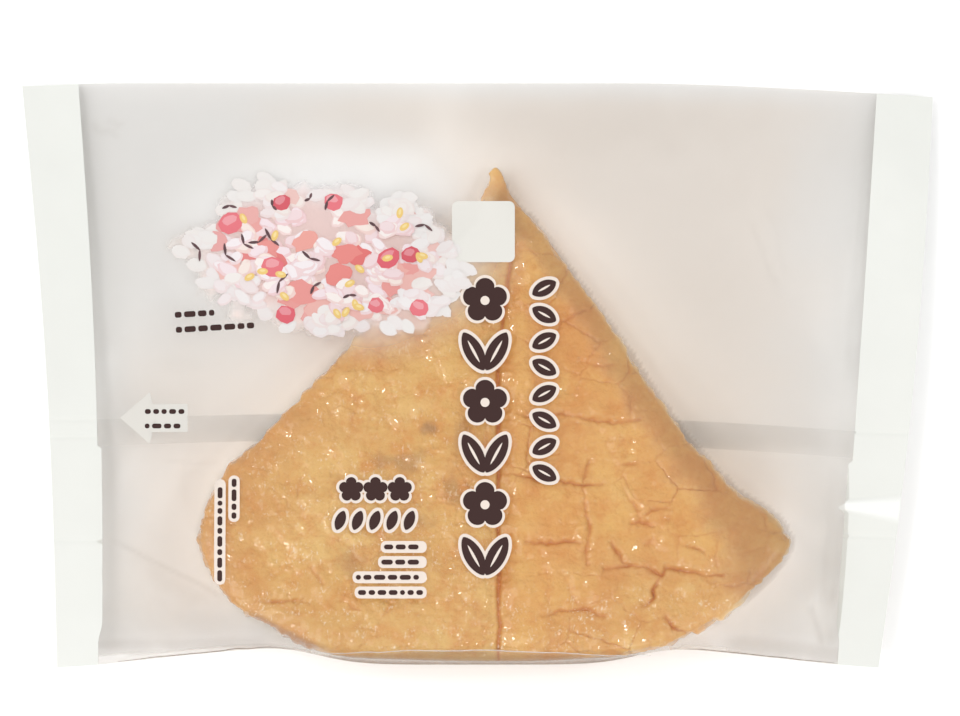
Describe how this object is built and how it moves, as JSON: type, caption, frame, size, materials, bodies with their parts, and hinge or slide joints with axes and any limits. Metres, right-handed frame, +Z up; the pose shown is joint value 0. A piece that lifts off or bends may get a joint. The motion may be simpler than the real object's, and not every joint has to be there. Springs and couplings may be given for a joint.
{
  "type": "packed inari sushi",
  "caption": "Triangular fried tofu pouch filled with rice, sealed in a clear film pack with white end seals, lying on its back with the printed front up.",
  "frame": {"origin": "on the surface that the pack lies on, under the middle of its bounding box", "axes": "+X along the film tube from the left end seal to the right one, +Y from the pouch's base to its apex, +Z up, out of the printed front"},
  "size_m": [0.17, 0.109, 0.0252],
  "materials": {
    "film": "clear, slightly hazy packing film over golden tofu skin",
    "end_seal": "white heat-sealed film",
    "tofu_skin": "moist, wrinkled fried tofu skin",
    "print_ink": "flat printing ink"
  },
  "bodies": {
    "root": {"film_pack": "film"}
  },
  "joints": []
}
